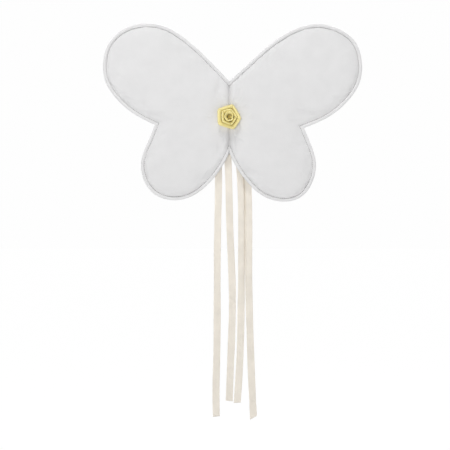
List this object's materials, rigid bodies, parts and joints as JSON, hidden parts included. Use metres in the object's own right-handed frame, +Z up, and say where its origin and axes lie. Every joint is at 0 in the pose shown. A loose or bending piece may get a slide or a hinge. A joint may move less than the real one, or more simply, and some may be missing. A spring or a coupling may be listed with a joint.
{
  "type": "fairy wings",
  "caption": "Padded white cotton fairy wings with a gold ribbon rose in the middle and long cotton ties on the back.",
  "frame": {"origin": "centre of the back patch's rear face, level with the middle of the rose, where the wings rest on the wearer's back", "axes": "+Z up as worn, +X towards the right wing tip seen from the rose side, +Y towards the wearer, the rose faces -Y"},
  "size_m": [0.4514, 0.0272, 0.6874],
  "materials": {
    "cotton_front": "matt plain-weave white cotton",
    "cotton_back": "matt plain-weave white cotton",
    "wadding": "matt firm fibre wadding",
    "thread": "spun sewing thread",
    "felt": "matt pressed felt",
    "gold_satin": "satin ribbon with a soft sheen",
    "tie_cotton": "matt natural cotton tape"
  },
  "bodies": {
    "root": {"centre_front_cover": "cotton_front", "centre_back_cover": "cotton_back", "centre_turned_edge": "cotton_back", "back_patch": "cotton_back", "centre_wadding": "wadding", "centre_topstitching": "thread", "centre_seam_stitches": "thread", "back_patch_stitches": "thread", "tie_box_stitches": "thread", "rose_felt_base": "felt", "rose_outer_turn": "gold_satin", "rose_middle_turn": "gold_satin", "rose_inner_turn": "gold_satin", "rose_bud": "gold_satin", "outer_left_tie_sewn_end": "tie_cotton", "inner_left_tie_sewn_end": "tie_cotton", "inner_right_tie_sewn_end": "tie_cotton", "outer_right_tie_sewn_end": "tie_cotton"},
    "left_wing": {"left_front_cover": "cotton_front", "left_back_cover": "cotton_back", "left_turned_edge": "cotton_back", "left_wadding": "wadding", "left_topstitching": "thread"},
    "right_wing": {"right_front_cover": "cotton_front", "right_back_cover": "cotton_back", "right_turned_edge": "cotton_back", "right_wadding": "wadding", "right_topstitching": "thread"},
    "outer_left_tie_strip": {"outer_left_tie": "tie_cotton"},
    "inner_left_tie_strip": {"inner_left_tie": "tie_cotton"},
    "inner_right_tie_strip": {"inner_right_tie": "tie_cotton"},
    "outer_right_tie_strip": {"outer_right_tie": "tie_cotton"}
  },
  "joints": [
    {"name": "left_wing_fold", "type": "hinge", "parent": "root", "child": "left_wing", "pos_m": [-0.03, -0.005, 0], "axis": [0, 0, 1], "range_deg": [-5, 80], "stiffness_Nm_per_rad": 0.05},
    {"name": "right_wing_fold", "type": "hinge", "parent": "root", "child": "right_wing", "pos_m": [0.03, -0.005, 0], "axis": [0, 0, -1], "range_deg": [-5, 80], "stiffness_Nm_per_rad": 0.05},
    {"name": "outer_left_tie_swing", "type": "hinge", "parent": "root", "child": "outer_left_tie_strip", "pos_m": [-0.0204, 0.0017, -0.008], "axis": [1, 0, 0], "range_deg": [0, 150]},
    {"name": "inner_left_tie_swing", "type": "hinge", "parent": "root", "child": "inner_left_tie_strip", "pos_m": [-0.0068, 0.0017, -0.008], "axis": [1, 0, 0], "range_deg": [0, 150]},
    {"name": "inner_right_tie_swing", "type": "hinge", "parent": "root", "child": "inner_right_tie_strip", "pos_m": [0.0068, 0.0017, -0.008], "axis": [1, 0, 0], "range_deg": [0, 150]},
    {"name": "outer_right_tie_swing", "type": "hinge", "parent": "root", "child": "outer_right_tie_strip", "pos_m": [0.0204, 0.0017, -0.008], "axis": [1, 0, 0], "range_deg": [0, 150]}
  ]
}
